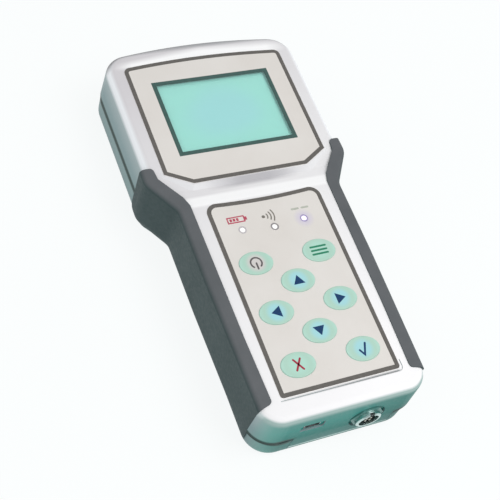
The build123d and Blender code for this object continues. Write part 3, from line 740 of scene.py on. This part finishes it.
def key_skirts():
    """Soft membrane that closes the fine gap round each key, level with the panel."""
    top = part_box("keypad_panel")[1].z
    skirt = ink("skirt_mint", srgb(190, 214, 201))
    # after the panel's outline come the eight key holes; the status lights' are shorter
    key_holes = top_loops("keypad_panel")[1:9]
    for number, hole in enumerate(map(thin_out, key_holes)):
        centre = sum(hole, Vector((0, 0))) / len(hole)
        inner = [point - (point - centre).normalized() * 0.12 * MM for point in hole]
        prism(f"key_skirt_{number}", [hole, inner], top - 0.2 * MM, top - 0.01 * MM, skirt)


def top_centre(node):
    """Centre, as (x, y), and height of a node's top."""
    low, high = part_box(node)
    return Vector(((low.x + high.x) / 2, (low.y + high.y) / 2)), high.z


def print_on_key(node, sign, outline, material):
    """A printed sign on a key, riding with it."""
    centre, top = top_centre(node)
    body = node.replace("key_", "") + "_key"
    moved = [centre + point for point in outline]
    prism(f"{node}_{sign}", [moved], top, top + INK, material, body)


def key_signs():
    """Generic signs of the eight keys."""
    blue = ink("sign_blue", ARROW_BLUE)
    triangle = placed((-2.75, -2.0), (2.75, -2.0), (0, 2.5))
    for node, turn in (("key_up", 0), ("key_left", 90), ("key_down", 180), ("key_right", 270)):
        turned = [Matrix.Rotation(math.radians(turn), 2) @ point for point in triangle]
        print_on_key(node, "arrow", turned, blue)
    tick = stroke(placed((-1.9, -0.5), (-0.4, -3.0), (1.7, 2.2)), 0.95 * MM)
    print_on_key("key_ok", "tick", tick, blue)
    red = ink("sign_red", CROSS_RED)
    for number, lean in enumerate((-1, 1)):
        bar = stroke(placed((-1.6 * lean, -2.5), (1.6 * lean, 2.5)), 0.9 * MM)
        print_on_key("key_cancel", f"bar_{number}", bar, red)
    dark = ink("sign_dark", srgb(96, 92, 92))
    ring = stroke(arc((0, 0), 2.6 * MM, -50, 230), 0.75 * MM)
    print_on_key("key_power", "ring", ring, dark)
    print_on_key("key_power", "bar", stroke(placed((0, -0.2), (0, -3.1)), 0.8 * MM), dark)
    green = ink("sign_green", MENU_GREEN)
    for number, y in enumerate((-1.9, 0.0, 1.9)):
        bar = stroke(placed((-3.7, y), (3.7, y)), 0.95 * MM)
        print_on_key("key_menu", f"bar_{number}", bar, green)


def print_on_keypad(name, loops, material):
    """A printed mark on the keypad panel."""
    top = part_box("keypad_panel")[1].z
    prism(name, loops, top, top + INK, material)


def battery_mark(at):
    """A battery outline with three bars."""
    red = ink("mark_red", MARK_RED)
    outline = [rectangle(at, 8.6 * MM, 3.4 * MM), rectangle(at, 7.4 * MM, 2.2 * MM)]
    print_on_keypad("mark_battery", outline, red)
    tip = rectangle(at + Vector((4.8 * MM, 0)), 1.0 * MM, 1.7 * MM)
    print_on_keypad("mark_battery_tip", [tip], red)
    for number, x in enumerate((-2.5, -0.9, 0.7)):
        bar = rectangle(at + Vector((x * MM, 0)), 1.1 * MM, 1.5 * MM)
        print_on_keypad(f"mark_battery_bar_{number}", [bar], red)


def reading_mark(at):
    """Waves that come from a chip, drawn as a dot."""
    dark = ink("mark_grey", MARK_GREY)
    print_on_keypad("mark_chip", [circle(at, 0.8 * MM, 20)], dark)
    for number, radius in enumerate((2.1, 3.7, 5.3)):
        wave = stroke(arc(at, radius * MM, -32, 32, 12), 0.6 * MM)
        print_on_keypad(f"mark_wave_{number}", [wave], dark)


def link_mark(at):
    """Two faint dashes."""
    faint = ink("mark_faint", MARK_FAINT)
    for number, x in enumerate((-2.5, 2.5)):
        dash = stroke([at + end for end in placed((x - 1.5, 0), (x + 1.5, 0))], 1.0 * MM)
        print_on_keypad(f"mark_link_{number}", [dash], faint)


def status_marks():
    """Thin rings round the status lights, and a small generic sign above each."""
    centres = {side: top_centre(f"status_lens_{side}")[0] for side in ("left", "middle", "right")}
    rings = {
        "left": ink("ring_pale", srgb(196, 192, 194)),
        "middle": ink("ring_grey", srgb(150, 146, 148)),
        "right": ink("ring_violet", srgb(172, 164, 196)),
    }
    for side, material in rings.items():
        loops = [circle(centres[side], 1.95 * MM), circle(centres[side], 1.3 * MM)]
        print_on_keypad(f"status_ring_{side}", loops, material)
    battery_mark(centres["left"] + Vector((-1.2 * MM, 5.7 * MM)))
    reading_mark(centres["middle"] + Vector((-3.4 * MM, 6.0 * MM)))
    link_mark(centres["right"] + Vector((0, 5.6 * MM)))


# ---------------------------------------------------------------- studio


def floor():
    """Plain pale floor, lit from below like a light table."""
    paint = Paint("studio_floor", 0.9)
    paint.color(paint.mottle(paint.noise(3, 2), srgb(92, 94, 94), srgb(95, 97, 97)))
    paint.shader.inputs["Specular IOR Level"].default_value = 0.0
    paint.shader.inputs["Emission Color"].default_value = srgb(251, 253, 253)
    paint.shader.inputs["Emission Strength"].default_value = 0.9
    bpy.ops.mesh.primitive_plane_add(size=6)
    made = bpy.context.object
    made.name = "studio_floor"
    made.data.materials.append(paint.material)


def area_light(name, place, size, power):
    """Soft square light that points at the object."""
    data = bpy.data.lights.new(name, "AREA")
    data.size = size
    data.energy = power
    made = bpy.data.objects.new(name, data)
    made.location = place
    made.rotation_euler = (-Vector(place)).to_track_quat("-Z", "Y").to_euler()
    bpy.context.scene.collection.objects.link(made)


def lights():
    """Even white studio light, brightest from above the lower right."""
    world = bpy.data.worlds.new("studio")
    world.use_nodes = True
    background = world.node_tree.nodes["Background"]
    background.inputs["Color"].default_value = (0.98, 0.99, 1.0, 1.0)
    background.inputs["Strength"].default_value = 0.55
    bpy.context.scene.world = world
    area_light("key_light", (0.35, -0.3, 0.95), 0.7, 5.2)
    area_light("fill_light", (-0.9, 0.1, 0.7), 0.8, 1.2)


def camera():
    """Looks down on the face from the lower left, rolled, as from a held camera."""
    place = Vector((-0.19543, -0.22442, 0.42744))
    forward = Vector((0.3757, 0.4282, -0.8219)).normalized()
    right = Vector((0.9082, -0.3465, 0.2347)).normalized()
    up = right.cross(forward)
    right = forward.cross(up)
    turn = Matrix((right, up, -forward)).transposed()
    data = bpy.data.cameras.new("camera")
    data.sensor_width = 36  # sensor and lens in millimetres
    data.lens = 77.85
    made = bpy.data.objects.new("camera", data)
    made.matrix_world = Matrix.Translation(place) @ turn.to_4x4()
    bpy.context.scene.collection.objects.link(made)
    bpy.context.scene.camera = made


# ---------------------------------------------------------------- build

finish_all_nodes()
printed_borders()
key_skirts()
key_signs()
status_marks()
floor()
lights()
camera()
bpy.context.scene.view_settings.view_transform = "Standard"
